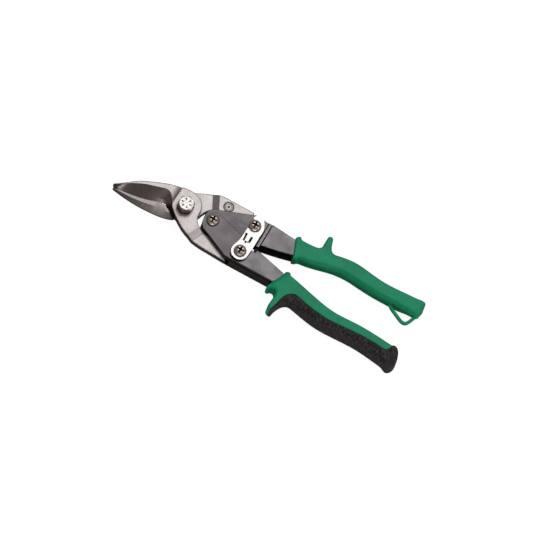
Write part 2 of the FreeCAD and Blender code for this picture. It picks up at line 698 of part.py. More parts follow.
def latch():
    """Plate that turns on the lower link screw and hooks round the upper one."""
    body = new_body("latch")
    place(body, None)
    plan = new_sketch(body, "plan", height="dims.latch_low")
    draw(
        plan, (46.9, -12.0),
        ("arc", ((53.7, -18.6), (60.5, -12.0))),
        ("line", [(61.0, -6), (61.0, 7)]),
        ("curve", [(60.3, 15.8), (57.2, 20.8), (53.9, 23.0)]),
        ("curve", [(52.6, 22.6), (49.7, 18.9)]),
        ("line", [(49.9, 17.9), (54.6, 15.8)]),
        ("arc", ((57.9, 13.0), (54.2, 8.7))),
        ("line", [(49.5, 8.7), (49.3, 0.5)]),
        ("curve", [(48.4, -5.5), (47.2, -9.0)]),
    )
    pad(body, plan, "dims.latch_thick")
    bump = new_sketch(body, "bump", height="dims.latch_low")
    draw(bump, (52.6, -2.0), ("line", [(55.3, -2.0), (55.3, 3.2)]), ("arc", ((53.9, 4.5), (52.5, 3.2))))
    pad(body, bump, "dims.latch_thick + dims.latch_bump")

    slits = new_sketch(body, "slits", height="dims.latch_low")
    slit(slits, (51.6, -1.7), (51.2, 3.6), 0.72)
    slit(slits, (56.4, -1.3), (56.3, 3.0), 0.8)
    pocket(body, slits)
    keyhole = new_sketch(body, "keyhole", height="dims.latch_low")
    circle(keyhole, (51.1, 3.7), "dims.keyhole_radius")
    pocket(body, keyhole)
    hole = new_sketch(body, "hole")
    circle(hole, LOWER_LINK, "dims.latch_shoulder + dims.running_clearance", pivot="lower_link")
    pocket(body, hole)
    dimple = new_sketch(body, "dimple", height="dims.latch_low + dims.latch_thick")
    circle(dimple, (53.9, -3.1), "dims.dimple_radius")
    pocket(body, dimple, "dims.latch_thick / 3", symmetric=False)
    return body


def rod(points, radius):
    """Round wire through points, with a ball at each bend."""
    pieces = []
    for first, second in zip(points, points[1:]):
        pieces.append(Part.makeCylinder(radius, first.distanceToPoint(second), first, second - first))
    for bend in points[1:-1]:
        pieces.append(Part.makeSphere(radius, bend))
    return pieces


def return_spring():
    """Torsion spring about the handle pivot, with a leg on the web of each handle."""
    feature = doc.addObject("Part::Feature", "return_spring")
    feature.Label = "return_spring"
    nodes.append(feature)
    wire, coil, pitch = size("wire_radius"), size("coil_radius"), size("coil_pitch")
    turns = 2
    level = pitch * turns / 2
    helix = Part.makeHelix(pitch, pitch * turns, coil)
    profile = Part.Wire([Part.makeCircle(wire, Vector(coil, 0, 0), Vector(0, 1, 0))])
    body = Part.Wire(helix.Edges).makePipeShell([profile], True, True)
    centre = Vector(HANDLE_PIVOT[0], HANDLE_PIVOT[1], 0)
    body.translate(Vector(0, 0, -level))
    body.rotate(Vector(), Vector(0, 0, 1), 90)
    body.translate(centre)
    top = centre + Vector(0, coil, level)
    low = centre + Vector(0, coil, -level)
    upper_leg = [top] + [Vector(x, y, level) for x, y in ((60.5, 4.6), (66.5, 8), (73, 18.4))]
    lower_leg = [low] + [Vector(x, y, -level) for x, y in ((33, 0.5), (60.5, -2.6), (66.5, -7), (73, -17.5))]
    shape = body
    for piece in rod(upper_leg, wire) + rod(lower_leg, wire):
        shape = shape.fuse(piece)
    shape = shape.fuse([Part.makeSphere(wire, top), Part.makeSphere(wire, low)])
    feature.Shape = shape.removeSplitter()
    feature.Placement = Placement(Vector(0, 0, size("shear_plane")), Rotation())
    return feature


# ---------------------------------------------------------------- grips

UPPER_GRIP_START = (85.8, 19.8)
UPPER_GRIP = (
    ("curve", [(85.8, 24.2), (87.3, 25.4), (89.6, 23.7)]),
    ("curve", [(95.0, 23.6), (100.0, 24.0), (104.2, 25.0), (105.8, 27.4)]),
    ("line", [(105.9, 35.7)]),
    ("arc", ((108.1, 37.7), (110.5, 35.7))),
    ("curve", [(112.2, 30.7), (114.2, 27.6), (118, 26.4)]),
    ("curve", [(125, 28.0), (135, 29.0), (150, 27.5), (165, 26.6), (180, 27.7), (192, 28.4)]),
    ("curve", [(196.0, 27.6), (196.8, 24.8)]),
    ("line", [(195.5, 17.6)]),
    ("arc", ((194.9, 16.7), (193.8, 16.4))),
    ("curve", [(170, 15.7), (150, 15.9), (137, 16.9), (123, 16.0), (109, 12.2), (96.6, 9.6)]),
    ("line", [(94.8, 9.0), (93.2, 7.4), (90.6, 6.9)]),
)
LOWER_GRIP_START = (84.8, -24.4)
LOWER_GRIP_TOP = (
    ("line", [(87.6, -17.3), (91.4, -8.6)]),
    ("curve", [(92.6, -5.9), (94.4, -5.4), (96.4, -7.1)]),
    ("curve", [(108, -9.7), (125, -13.7), (140, -15.9), (160, -15.1), (175, -15.3), (191, -16.4)]),
)
# Where the green core meets the soft part, from the top edge of the grip's end to the guard's tip.
SOFT_BOUNDARY = (
    ("curve", [(190.6, -19.0), (189.2, -21.9), (186.0, -23.1)]),
    ("curve", [(170, -22.6), (155, -23.5), (140, -24.7), (125, -23.5), (110, -20.4)]),
    ("curve", [(104.2, -21.3), (100.8, -25.2), (98.9, -31.0), (96.1, -40.8)]),
)
LOWER_GRIP_FRONT = (
    ("arc", ((94.3, -40.2), (93.3, -38.8))),
    ("curve", [(93.6, -33.0), (93.3, -27.1), (91.6, -23.9), (88.2, -23.6)]),
    ("arc", ((86.1, -25.3), (84.8, -24.4))),
)
SOFT_OUTER = (
    ("arc", ((97.6, -40.3), (98.2, -39.1))),
    ("curve", [(100.5, -31.4), (104.2, -27.3), (108.5, -27.0)]),
    ("curve", [(119, -29.1), (130, -30.8), (150, -30.6), (166, -30.0), (180, -31.1), (192, -32.6)]),
    ("curve", [(198.3, -32.4), (199.9, -28.8), (198.6, -22.2), (196.0, -17.9), (191, -16.4)]),
)


def grip_solid(body, start, runs):
    """The grip's outline at its full thickness."""
    plan = new_sketch(body, "plan")
    draw(plan, start, *runs)
    pad(body, plan, "2 * dims.grip_half", symmetric=True)


def tang_slot(body, web, free_edge):
    """Room for the steel channel inside the grip."""
    slot = new_sketch(body, "tang")
    ahead = (web[0][0], free_edge[0][1])
    draw(slot, web[0], ("line", web[1:]), ("line", tuple(reversed(free_edge))), ("line", [ahead]))
    pocket(body, slot, "2 * (dims.outer_flange + dims.sheet)")


def upper_grip():
    body = new_body("upper_grip")
    place(body, None)
    grip_solid(body, UPPER_GRIP_START, UPPER_GRIP)
    tang_slot(body, UPPER_WEB, UPPER_FREE_EDGE)
    strap = new_sketch(body, "strap")
    draw(
        strap, (169.5, 17.2),
        ("curve", [(171.4, 14.4), (178, 10.4), (185.5, 6.9), (189.5, 6.4), (192.6, 9.4), (195, 19)]),
        ("line", [(193.3, 19)]),
        ("curve", [(191.2, 10.4), (188.6, 8.2), (185.9, 8.6), (178.8, 12.0), (173.4, 15.0), (172.2, 17.2)]),
    )
    pad(body, strap, "2 * dims.strap_half", symmetric=True)
    return body


def lower_grip():
    body = new_body("lower_grip")
    place(body, None)
    grip_solid(body, LOWER_GRIP_START, LOWER_GRIP_TOP + SOFT_BOUNDARY + LOWER_GRIP_FRONT)
    tang_slot(body, LOWER_WEB, LOWER_FREE_EDGE)
    return body


def lower_grip_overmould():
    """Soft part on the outer side and round the end of the lower grip."""
    body = new_body("lower_grip_overmould")
    place(body, None)
    boundary_start = (191, -16.4)
    grip_solid(body, boundary_start, SOFT_BOUNDARY + SOFT_OUTER)
    tang_slot(body, LOWER_WEB, LOWER_FREE_EDGE)
    return body


front_jaw()
rear_jaw()
stop_pin()
pivot_bolt()
boss_low = -size("boss_thick")
ring("pivot_washer", None, boss_low - size("washer_thick"), boss_low,
     size("washer_radius"), size("bolt_radius") + size("seat_clearance"))
hex_nut("pivot_nut", None, "-dims.boss_thick - dims.washer_thick", "nut_thick", "nut_flats",
        "dims.bolt_radius + dims.seat_clearance")
lower_handle()
upper_handle()
handle_screws()
latch()
return_spring()
upper_grip()
lower_grip()
lower_grip_overmould()
doc.recompute()

for item in doc.Objects:
    if "Invalid" in item.State or "Error" in item.State:
        raise RuntimeError(f"{item.Name} failed: {item.State}")
for node in nodes:
    if node.Shape.isNull() or not node.Shape.isValid():
        raise RuntimeError(f"{node.Label} has no valid shape")
for node in nodes:
    node.Shape.exportStep(f"parts/{node.Label}.step")
    box = node.Shape.BoundBox
    print(f"{node.Label}: {len(node.Shape.Solids)} solid(s), {node.Shape.Volume:.1f} mm3,"
          f" x {box.XMin:.1f}..{box.XMax:.1f} y {box.YMin:.1f}..{box.YMax:.1f}"
          f" z {box.ZMin:.1f}..{box.ZMax:.1f}")
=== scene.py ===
import math
from collections import Counter

import bpy
import numpy as np
from mathutils import Matrix, Vector


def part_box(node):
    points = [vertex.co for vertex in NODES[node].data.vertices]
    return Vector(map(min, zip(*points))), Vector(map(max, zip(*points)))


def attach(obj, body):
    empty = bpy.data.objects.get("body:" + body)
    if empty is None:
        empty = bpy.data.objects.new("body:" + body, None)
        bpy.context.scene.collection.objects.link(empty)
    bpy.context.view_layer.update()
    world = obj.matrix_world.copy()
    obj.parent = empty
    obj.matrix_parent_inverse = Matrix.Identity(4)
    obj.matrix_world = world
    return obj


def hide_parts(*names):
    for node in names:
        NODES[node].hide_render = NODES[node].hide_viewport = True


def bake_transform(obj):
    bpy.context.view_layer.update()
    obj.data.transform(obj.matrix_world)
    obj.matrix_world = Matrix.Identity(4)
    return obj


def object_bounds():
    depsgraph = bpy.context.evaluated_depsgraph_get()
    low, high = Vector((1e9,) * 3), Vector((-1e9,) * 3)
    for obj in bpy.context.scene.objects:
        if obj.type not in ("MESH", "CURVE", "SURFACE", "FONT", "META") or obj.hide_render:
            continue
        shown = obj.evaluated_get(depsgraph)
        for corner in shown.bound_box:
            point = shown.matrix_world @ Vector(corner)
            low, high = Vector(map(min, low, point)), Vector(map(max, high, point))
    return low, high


# Aviation snips, lying flat. Sizes are millimetres in the row frame unless a name says otherwise,
# and MM turns them into Blender's metres.

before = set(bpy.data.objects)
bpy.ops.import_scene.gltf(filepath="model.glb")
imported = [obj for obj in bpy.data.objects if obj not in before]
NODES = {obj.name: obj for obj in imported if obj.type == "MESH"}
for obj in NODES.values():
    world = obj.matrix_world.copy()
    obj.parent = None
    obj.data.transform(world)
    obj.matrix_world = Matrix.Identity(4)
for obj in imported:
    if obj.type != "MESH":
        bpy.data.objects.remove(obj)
cad_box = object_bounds()

MM = 0.001


def node_box(node):
    """Lowest and highest corner of a CAD node, in millimetres."""
    low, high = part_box(node)
    return np.array(low) / MM, np.array(high) / MM


# The grips lie evenly about the plane where the blades slide.
grip_low, grip_high = node_box("upper_grip")
SHEAR_PLANE = (grip_low[2] + grip_high[2]) / 2
GRIP_HALF = (grip_high[2] - grip_low[2]) / 2
JAW_HEEL = -9.3                     # x where the front jaw leaves its boss
LOWER_HEEL = -3.0                   # and the rear jaw, further back under it
STEP_START = -16.0                  # x where painted shade on the front jaw's face starts, darkening towards its boss
STEP_FOOT = -10.2                   # x where that painted shade is darkest, at the foot of the step up to the boss
FORGED_SIDE_SHADE = (0.145, 0.118, 0.110)  # painted shade on the forgings' steep sides
SHADE_START = 46.0                  # the handles' flats are darker up to this x
SHADE_END = 62.0                    # and have their full tone from this one on


# ---------------------------------------------------------------- camera, light and floor

TO_CAMERA = Vector((0.065, -0.416, 0.907)).normalized()
PICTURE_TURN = math.radians(29.5)   # how far the snips' axis falls to the right in the picture
PICTURE_WIDTH = 407.0               # width of what the picture takes in
PICTURE_LEVEL = 11.3                # height over the shear plane of the point the picture is aimed from
PICTURE_RIGHT = 61.1                # picture centre, right of that point on the main pivot's axis
PICTURE_DOWN = 48.2                 # and below it
CAMERA_DISTANCE = 1500.0
SNIPS_MIDDLE = Vector((70, 0, 10))  # point that the lamps face
LAMP_METRES = 1.0                   # and how far from it they stand
FLOOR_HALF_METRES = 8.0
FLOOR_GAP = 0.05                    # between the floor and the lowest face


def linked(name, data):
    """A new object in the scene."""
    thing = bpy.data.objects.new(name, data)
    bpy.context.scene.collection.objects.link(thing)
    return thing


def add_camera():
    along = (Vector((1, 0, 0)) - TO_CAMERA * TO_CAMERA.x).normalized()
    across = TO_CAMERA.cross(along)
    right = math.cos(PICTURE_TURN) * along + math.sin(PICTURE_TURN) * across
    up = math.cos(PICTURE_TURN) * across - math.sin(PICTURE_TURN) * along
    boss_top = Vector((0, 0, SHEAR_PLANE + PICTURE_LEVEL))
    aim = boss_top + right * PICTURE_RIGHT - up * PICTURE_DOWN
    data = bpy.data.cameras.new("camera")
    data.type = "ORTHO"
    data.ortho_scale = PICTURE_WIDTH * MM
    data.clip_end = CAMERA_DISTANCE * MM * 4
    camera = linked("camera", data)
    place = Matrix((right, up, TO_CAMERA)).transposed().to_4x4()
    place.translation = (aim + TO_CAMERA * CAMERA_DISTANCE) * MM
    camera.matrix_world = place
    bpy.context.scene.camera = camera


def add_softbox(name, direction, width, height, brightness):
    """A rectangular softbox that faces the snips from a direction. Its width and height are in metres, and
    its brightness is its own radiance."""
    middle = SNIPS_MIDDLE * MM
    place = middle + Vector(direction).normalized() * LAMP_METRES
    data = bpy.data.lights.new(name, "AREA")
    data.shape = "RECTANGLE"
    data.size = width
    data.size_y = height
    data.energy = brightness * math.pi * width * height
    lamp = linked(name, data)
    lamp.location = place
    lamp.rotation_mode = "QUATERNION"
    lamp.rotation_quaternion = (place - middle).to_track_quat("Z", "Y")


def seen_colour(tree, unseen, seen):
    """A colour that differs between what the camera sees and what only lights and reflects. Returns its
    socket and the socket of the test between the two."""
    path = tree.nodes.new("ShaderNodeLightPath")
    mix = tree.nodes.new("ShaderNodeMix")
    mix.data_type = "RGBA"
    mix.inputs["A"].default_value = (*unseen, 1)
    mix.inputs["B"].default_value = (*seen, 1)
    test = path.outputs["Is Camera Ray"]
    tree.links.new(test, mix.inputs["Factor"])
    return mix.outputs["Result"], test


def add_world():
    """Grey surroundings for the reflections, behind a white backdrop."""
    world = bpy.data.worlds.new("studio")
    bpy.context.scene.world = world
    world.use_nodes = True
    tree = world.node_tree
    background = tree.nodes["Background"]
    background.inputs["Strength"].default_value = 1.0
    colour, _ = seen_colour(tree, unseen=(0.17, 0.165, 0.16), seen=(1.0, 1.0, 1.0))
    tree.links.new(colour, background.inputs["Color"])


def add_floor():
    """White table. It glows a little, as a light table does, so that shadows on it stay faint."""
    size = FLOOR_HALF_METRES
    mesh = bpy.data.meshes.new("floor")
    corners = [(-size, -size, 0), (size, -size, 0), (size, size, 0), (-size, size, 0)]
    mesh.from_pydata(corners, [], [(0, 1, 2, 3)])
    floor = linked("floor", mesh)
    floor.location.z = cad_box[0][2] - FLOOR_GAP * MM

    material = bpy.data.materials.new("floor")
    material.use_nodes = True
    tree = material.node_tree
    surface = tree.nodes["Principled BSDF"]
    surface.inputs["Roughness"].default_value = 0.9
    surface.inputs["Specular IOR Level"].default_value = 0.1
    surface.inputs["Emission Color"].default_value = (1, 1, 1, 1)
    colour, seen = seen_colour(tree, unseen=(0.55, 0.55, 0.55), seen=(0.50, 0.50, 0.50))
    tree.links.new(colour, surface.inputs["Base Color"])
    glow = tree.nodes.new("ShaderNodeMath")
    glow.operation = "MULTIPLY"
    glow.inputs[1].default_value = 0.92
    tree.links.new(seen, glow.inputs[0])
    tree.links.new(glow.outputs[0], surface.inputs["Emission Strength"])
    mesh.materials.append(material)


# ---------------------------------------------------------------- shaders

class Finish:
    """A procedural material, made from noise, masks and bumps in the object's own coordinates."""

    def __init__(self, name, roughness, metallic=0.0, specular=0.5):
        self.material = bpy.data.materials.new(name)
        self.material.use_nodes = True
        self.tree = self.material.node_tree
        self.surface = self.tree.nodes["Principled BSDF"]
        self.surface.inputs["Metallic"].default_value = metallic
        self.surface.inputs["Roughness"].default_value = roughness
        self.surface.inputs["Specular IOR Level"].default_value = specular
        self.place = self.node("TexCoord").outputs["Object"]

    def node(self, kind, **settings):
        node = self.tree.nodes.new("ShaderNode" + kind)
        for name, value in settings.items():
            setattr(node, name, value)
        return node

    def join(self, value, socket):
        if isinstance(value, bpy.types.NodeSocket):
            self.tree.links.new(value, socket)
        else:
            socket.default_value = value

    def stretched(self, x, y, z):
        """The object's coordinates, scaled along each axis."""
        mapping = self.node("Mapping")
        self.join(self.place, mapping.inputs["Vector"])
        mapping.inputs["Scale"].default_value = (x, y, z)
        return mapping.outputs["Vector"]

    def noise(self, size, detail=3.0, rough=0.55, place=None):
        """Noise whose blotches are about size millimetres wide, from 0 to 1."""
        node = self.node("TexNoise")
        self.join(place or self.place, node.inputs["Vector"])
        node.inputs["Scale"].default_value = 1 / (size * MM)
        node.inputs["Detail"].default_value = detail
        node.inputs["Roughness"].default_value = rough
        return node.outputs["Fac"]

    def cells(self, size):
        """Distance from the middles of cells about size millimetres wide."""
        node = self.node("TexVoronoi", feature="F1")
        self.join(self.place, node.inputs["Vector"])
        node.inputs["Scale"].default_value = 1 / (size * MM)
        return node.outputs["Distance"]

    def fit(self, value, low, high, new_low=0.0, new_high=1.0):
        """A value's stretch from low to high, moved to a new stretch and held there."""
        node = self.node("MapRange", interpolation_type="SMOOTHSTEP")
        self.join(value, node.inputs["Value"])
        for name, number in zip(("From Min", "From Max", "To Min", "To Max"), (low, high, new_low, new_high)):
            node.inputs[name].default_value = number
        return node.outputs["Result"]

    def calc(self, operation, first, second=0.0):
        node = self.node("Math", operation=operation)
        self.join(first, node.inputs[0])
        self.join(second, node.inputs[1])
        return node.outputs[0]

    def mix(self, factor, first, second):
        """Colour that goes from first to second."""
        node = self.node("Mix", data_type="RGBA")
        self.join(factor, node.inputs["Factor"])
        for value, name in ((first, "A"), (second, "B")):
            if not isinstance(value, bpy.types.NodeSocket):
                value = (*value, 1.0)
            self.join(value, node.inputs[name])
        return node.outputs["Result"]

    def edge_band(self, radius):
        """1 on edges, fading to 0 within radius millimetres of them."""
        bevel = self.node("Bevel", samples=6)
        bevel.inputs["Radius"].default_value = radius * MM
        dot = self.node("VectorMath", operation="DOT_PRODUCT")
        self.join(bevel.outputs["Normal"], dot.inputs[0])
        self.join(self.node("NewGeometry").outputs["Normal"], dot.inputs[1])
        return self.fit(dot.outputs["Value"], 0.985, 0.93)

    def flatness(self, low, high):
        """1 on faces that lie flat, front or back, 0 on the sides."""
        split = self.node("SeparateXYZ")
        self.join(self.node("NewGeometry").outputs["Normal"], split.inputs["Vector"])
        return self.fit(self.calc("ABSOLUTE", split.outputs["Z"]), low, high)

    def crevice(self, reach):
        """1 in corners and beside steps within reach millimetres, 0 in the open."""
        open_share = self.node("AmbientOcclusion", samples=8)
        open_share.inputs["Distance"].default_value = reach * MM
        return self.fit(open_share.outputs["AO"], 0.90, 0.48)

    def shaded_in_corners(self, colour, reach, corner_shade=(0.018, 0.015, 0.014)):
        """The colour, with painted shade in its corners and beside steps, from ambient occlusion."""
        return self.mix(self.crevice(reach), colour, corner_shade)

    def turned_down(self, steepest, from_slope, to_slope):
        """1 where a face turns from flat to steep between two slopes, fading again below the steepest."""
        fade = 0.05
        rolled = self.calc("SUBTRACT", 1.0, self.flatness(to_slope, from_slope))
        return self.calc("MULTIPLY", rolled, self.flatness(steepest - fade, steepest))

    def beyond(self, axis, low, high):
        """0 up to low millimetres along an axis of the row frame and 1 from high on. With low above high it
        is 1 up to high and 0 from low on."""
        split = self.node("SeparateXYZ")
        self.join(self.place, split.inputs["Vector"])
        return self.fit(split.outputs[axis], low * MM, high * MM)

    def outlined(self, reach, steepest, from_slope, to_slope):
        """1 on rounded edges and on the flats within reach millimetres of them."""
        rolled = self.turned_down(steepest, from_slope, to_slope)
        return self.calc("MAXIMUM", rolled, self.edge_band(reach))

    def vector(self, operation, first, second=None):
        node = self.node("VectorMath", operation=operation)
        self.join(first, node.inputs[0])
        if second is not None:
            self.join(second, node.inputs[1])
        return node.outputs["Value" if operation in ("LENGTH", "DOT_PRODUCT") else "Vector"]

    def in_recess(self, node):
        """1 inside the recess of a domed screw head, where faces do not lean away from the screw's axis."""
        low, high = node_box(node)
        middle = (low + high) / 2 * MM
        from_depth, full_depth = 1.2, 1.6
        full_radius, end_radius = 2.2 * MM, 2.6 * MM
        flat = (1.0, 1.0, 0.0)
        out = self.vector("MULTIPLY", self.vector("SUBTRACT", self.place, tuple(middle)), flat)
        lean = self.vector("MULTIPLY", self.node("TexCoord").outputs["Normal"], flat)
        away = self.vector("DOT_PRODUCT", lean, self.vector("NORMALIZE", out))
        inward = self.fit(self.calc("SUBTRACT", self.vector("LENGTH", lean), away), 0.05, 0.22)
        deep = self.beyond("Z", high[2] - from_depth, high[2] - full_depth)
        near = self.fit(self.vector("LENGTH", out), end_radius, full_radius)
        return self.calc("MAXIMUM", inward, self.calc("MULTIPLY", deep, near))

    def bump(self, height, depth, strength, under=None):
        """Relief depth millimetres deep."""
        node = self.node("Bump")
        node.inputs["Distance"].default_value = depth * MM
        node.inputs["Strength"].default_value = strength
        self.join(height, node.inputs["Height"])
        if under:
            self.join(under, node.inputs["Normal"])
        return node.outputs["Normal"]

    def finish(self, colour, roughness, normal):
        for name, value in (("Base Color", colour), ("Roughness", roughness), ("Normal", normal)):
            self.join(value, self.surface.inputs[name])
        return self.material


def forged_steel():
    """Shot-blasted forging: pale, with a fine grain. The jaws' facets are ground, darker and streaked."""
    skin = Finish("forged_steel", roughness=0.42, metallic=1.0)
    stains = skin.fit(skin.noise(9.0, detail=4), 0.35, 0.7)
    cast = skin.mix(stains, (0.70, 0.645, 0.635), (0.61, 0.555, 0.545))
    grain = skin.noise(0.45, detail=4, rough=0.7)
    cast = skin.mix(skin.fit(grain, 0.42, 0.30), cast, (0.36, 0.315, 0.30))
    # Painted shade on the front jaw's face in front of the shear plane, darkening towards the step up to its
    # boss.
    shade_before_boss = skin.calc("MULTIPLY", skin.beyond("X", STEP_START, STEP_FOOT),
                            skin.beyond("X", JAW_HEEL, JAW_HEEL - 0.4))
    in_front = skin.beyond("Z", SHEAR_PLANE, SHEAR_PLANE + 1.0)
    cast = skin.mix(skin.calc("MULTIPLY", shade_before_boss, in_front), cast, (0.17, 0.145, 0.138))
    # Painted shade along the rounded edges and on the flats just beside them.
    cast = skin.mix(skin.outlined(1.8, 0.3, 0.82, 0.74), cast, (0.10, 0.083, 0.078))

    lines = skin.noise(0.35, detail=3, rough=0.6, place=skin.stretched(1.0, 0.06, 0.06))
    streaks = skin.fit(lines, 0.3, 0.7)
    facet = skin.mix(streaks, (0.24, 0.197, 0.192), (0.33, 0.275, 0.268))
    lower_face = skin.mix(streaks, (0.26, 0.228, 0.222), (0.34, 0.30, 0.292))
    below = skin.beyond("Z", SHEAR_PLANE, SHEAR_PLANE - 0.02)
    ground = skin.mix(below, facet, lower_face)
    sloping = skin.calc("SUBTRACT", 1.0, skin.flatness(0.955, 0.992))
    blur = 0.6
    upper = skin.calc("MULTIPLY", skin.beyond("X", JAW_HEEL + blur, JAW_HEEL - blur), sloping)
    lower = skin.calc("MULTIPLY", skin.beyond("X", LOWER_HEEL + blur, LOWER_HEEL - blur), below)
    mask = skin.calc("MAXIMUM", upper, lower)

    colour = skin.mix(mask, cast, ground)
    # Painted shade: the steep sides take a darker colour.
    colour = skin.mix(skin.calc("SUBTRACT", 1.0, skin.flatness(0.42, 0.78)), colour, FORGED_SIDE_SHADE)
    # Painted shade in the corners and beside steps.
    colour = skin.shaded_in_corners(colour, reach=2.0, corner_shade=(0.045, 0.037, 0.035))
    blasted = skin.fit(grain, 0.3, 0.7, 0.34, 0.50)
    roughness = skin.calc("SUBTRACT", blasted, skin.calc("MULTIPLY", mask, 0.10))
    normal = skin.bump(grain, 0.05, 0.55)
    normal = skin.bump(skin.noise(2.6, detail=2), 0.08, 0.5, under=normal)
    return skin.finish(colour, roughness, normal)


def bright_zinc():
    """Zinc plating, with the faint cloudiness of a bright bath, and painted shade in the bolt head's marks
    and on its sides.
    """
    skin = Finish("bright_zinc", roughness=0.30, metallic=1.0)
    cloud = skin.noise(1.6, detail=3)
    colour = skin.mix(skin.fit(cloud, 0.3, 0.7), (0.70, 0.665, 0.625), (0.58, 0.55, 0.51))
    # Painted shade in the marks pressed into the bolt head's top.
    top = node_box("pivot_bolt")[1][2]
    below_face = skin.beyond("Z", top - 0.10, top - 0.18)
    down_to_marks = skin.beyond("Z", top - 0.5, top - 0.4)
    in_mark = skin.calc("MULTIPLY", below_face, down_to_marks)
    in_mark = skin.calc("MULTIPLY", in_mark, skin.flatness(0.9, 0.98))
    colour = skin.mix(in_mark, colour, (0.20, 0.17, 0.15))
    # Painted shade: the steep sides take a darker colour.
    colour = skin.mix(skin.calc("SUBTRACT", 1.0, skin.flatness(0.30, 0.75)), colour, (0.42, 0.36, 0.31))
    # Painted shade in the corners and beside steps.
    colour = skin.shaded_in_corners(colour, reach=0.8, corner_shade=(0.06, 0.048, 0.042))
    fine = skin.noise(0.2, detail=2)
    return skin.finish(colour, skin.fit(cloud, 0.3, 0.7, 0.26, 0.38), skin.bump(fine, 0.02, 0.35))


def dark_steel():
    """Phosphated sheet steel: satin grey on the flats. Painted shade makes it black on the sides and brownish
    black along the edges.
    """
    skin = Finish("dark_steel", roughness=0.42, metallic=1.0)
    cloud = skin.noise(11.0, detail=3)
    flat = skin.mix(skin.fit(cloud, 0.25, 0.75), (0.255, 0.236, 0.243), (0.222, 0.205, 0.212))
    flat = skin.mix(skin.beyond("X", SHADE_END, SHADE_START), flat, (0.180, 0.164, 0.172))
    # Painted shade: the sides take a near-black colour.
    colour = skin.mix(skin.flatness(0.80, 0.97), (0.100, 0.087, 0.089), flat)
    # Painted shade along the rounded edges and on the flats just beside them.
    colour = skin.mix(skin.outlined(0.9, 0.25, 0.985, 0.80), colour, (0.030, 0.025, 0.025))
    # Painted shade in the corners and beside steps.
    colour = skin.shaded_in_corners(colour, reach=1.5)
    drawn = skin.noise(0.5, detail=3, place=skin.stretched(0.12, 1.0, 1.0))
    normal = skin.bump(drawn, 0.02, 0.5)
    normal = skin.bump(skin.noise(0.3, detail=2), 0.02, 0.5, under=normal)
    return skin.finish(colour, skin.fit(cloud, 0.3, 0.7, 0.38, 0.46), normal)


def screw_plate(node):
    """Dark nickel on a screw, close to a mirror, with painted shade in the cross recess."""
    skin = Finish(f"screw_plate_{node}", roughness=0.36, metallic=1.0)
    cloud = skin.noise(1.2, detail=3)
    colour = skin.mix(skin.fit(cloud, 0.3, 0.7), (0.86, 0.74, 0.67), (0.62, 0.51, 0.45))
    # Painted shade in the cross recess.
    colour = skin.mix(skin.in_recess(node), colour, (0.035, 0.024, 0.019))
    # Painted shade in the corners and beside steps.
    colour = skin.shaded_in_corners(colour, reach=1.0, corner_shade=(0.020, 0.013, 0.010))
    return skin.finish(colour, skin.fit(cloud, 0.3, 0.7, 0.30, 0.44), skin.bump(cloud, 0.03, 0.3))


def hard_bush():
    """Hardened steel, with turning marks round the upright axis."""
    skin = Finish("hard_bush", roughness=0.35, metallic=1.0)
    turned = skin.noise(0.4, detail=2, place=skin.stretched(0.2, 0.2, 1.0))
    colour = skin.mix(skin.fit(turned, 0.3, 0.7), (0.42, 0.40, 0.39), (0.30, 0.28, 0.27))
    return skin.finish(colour, skin.fit(turned, 0.3, 0.7, 0.28, 0.42), skin.bump(turned, 0.02, 0.4))


def latch_plate():
    """Tumbled and bright-plated stamping."""
    skin = Finish("latch_plate", roughness=0.30, metallic=1.0)
    cloud = skin.noise(3.0, detail=3)
    colour = skin.mix(skin.fit(cloud, 0.3, 0.7), (0.78, 0.755, 0.74), (0.68, 0.655, 0.64))
    # Painted shade: the steep sides and edges take a dark brown colour.
    colour = skin.mix(skin.calc("SUBTRACT", 1.0, skin.flatness(0.40, 0.80)), colour, (0.11, 0.080, 0.066))
    # Painted shade in the corners and beside steps.
    colour = skin.shaded_in_corners(colour, reach=1.0)
    fine = skin.noise(0.3, detail=3)
    return skin.finish(colour, skin.fit(fine, 0.3, 0.7, 0.25, 0.38), skin.bump(fine, 0.02, 0.4))


def spring_steel():
    """Drawn spring wire, dark and smooth."""
    skin = Finish("spring_steel", roughness=0.28, metallic=1.0)
    drawn = skin.noise(0.3, detail=3)
    colour = skin.mix(skin.fit(drawn, 0.3, 0.7), (0.34, 0.31, 0.29), (0.22, 0.20, 0.19))
    return skin.finish(colour, skin.fit(drawn, 0.3, 0.7, 0.22, 0.36), skin.bump(drawn, 0.02, 0.4))


def green_moulding():
    """Moulded green vinyl with a fine eggshell grain."""
    skin = Finish("green_moulding", roughness=0.46, specular=0.35)
    cloud = skin.noise(11.0, detail=4)
    colour = skin.mix(skin.fit(cloud, 0.3, 0.7), (0.012, 0.56, 0.270), (0.010, 0.46, 0.222))
    grain = skin.noise(0.35, detail=3, rough=0.6)
    colour = skin.mix(skin.fit(grain, 0.42, 0.28), colour, (0.008, 0.34, 0.165))
    normal = skin.bump(grain, 0.04, 0.5)
    normal = skin.bump(skin.noise(3.0, detail=2), 0.05, 0.4, under=normal)
    return skin.finish(colour, skin.fit(grain, 0.3, 0.7, 0.40, 0.54), normal)


